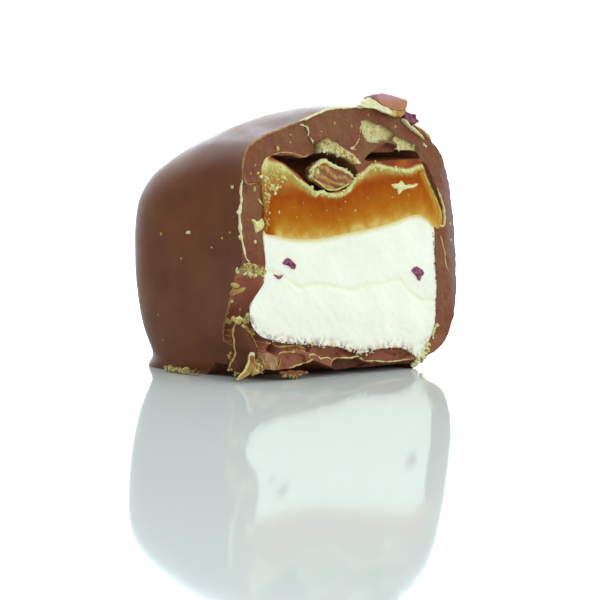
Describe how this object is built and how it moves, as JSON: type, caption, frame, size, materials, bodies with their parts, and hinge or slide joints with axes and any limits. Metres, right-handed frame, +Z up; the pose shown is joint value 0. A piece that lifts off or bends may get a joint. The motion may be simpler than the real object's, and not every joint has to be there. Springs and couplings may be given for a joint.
{
  "type": "bitten half of a chocolate-coated marshmallow and caramel candy",
  "caption": "Half of a soft-cornered enrobed candy standing on its flat base, bitten across to show a chocolate shell, a caramel layer and a marshmallow block.",
  "frame": {"origin": "centre of the bounding box at the level of the base, on the table", "axes": "+X along the bitten face towards its right end, +Y from the bitten face to the uncut back, +Z up"},
  "size_m": [0.0312, 0.0192, 0.0262],
  "materials": {
    "milk_chocolate": "milk chocolate, enrobed and set with a soft gloss outside, dull and paler where it broke",
    "caramel": "soft cooked caramel, cut, translucent and slightly glossy",
    "marshmallow": "aerated sugar foam, cut, matte and fine-pored"
  },
  "bodies": {
    "root": {"coating": "milk_chocolate", "coating_chip": "milk_chocolate", "caramel": "caramel", "marshmallow": "marshmallow"}
  },
  "joints": []
}
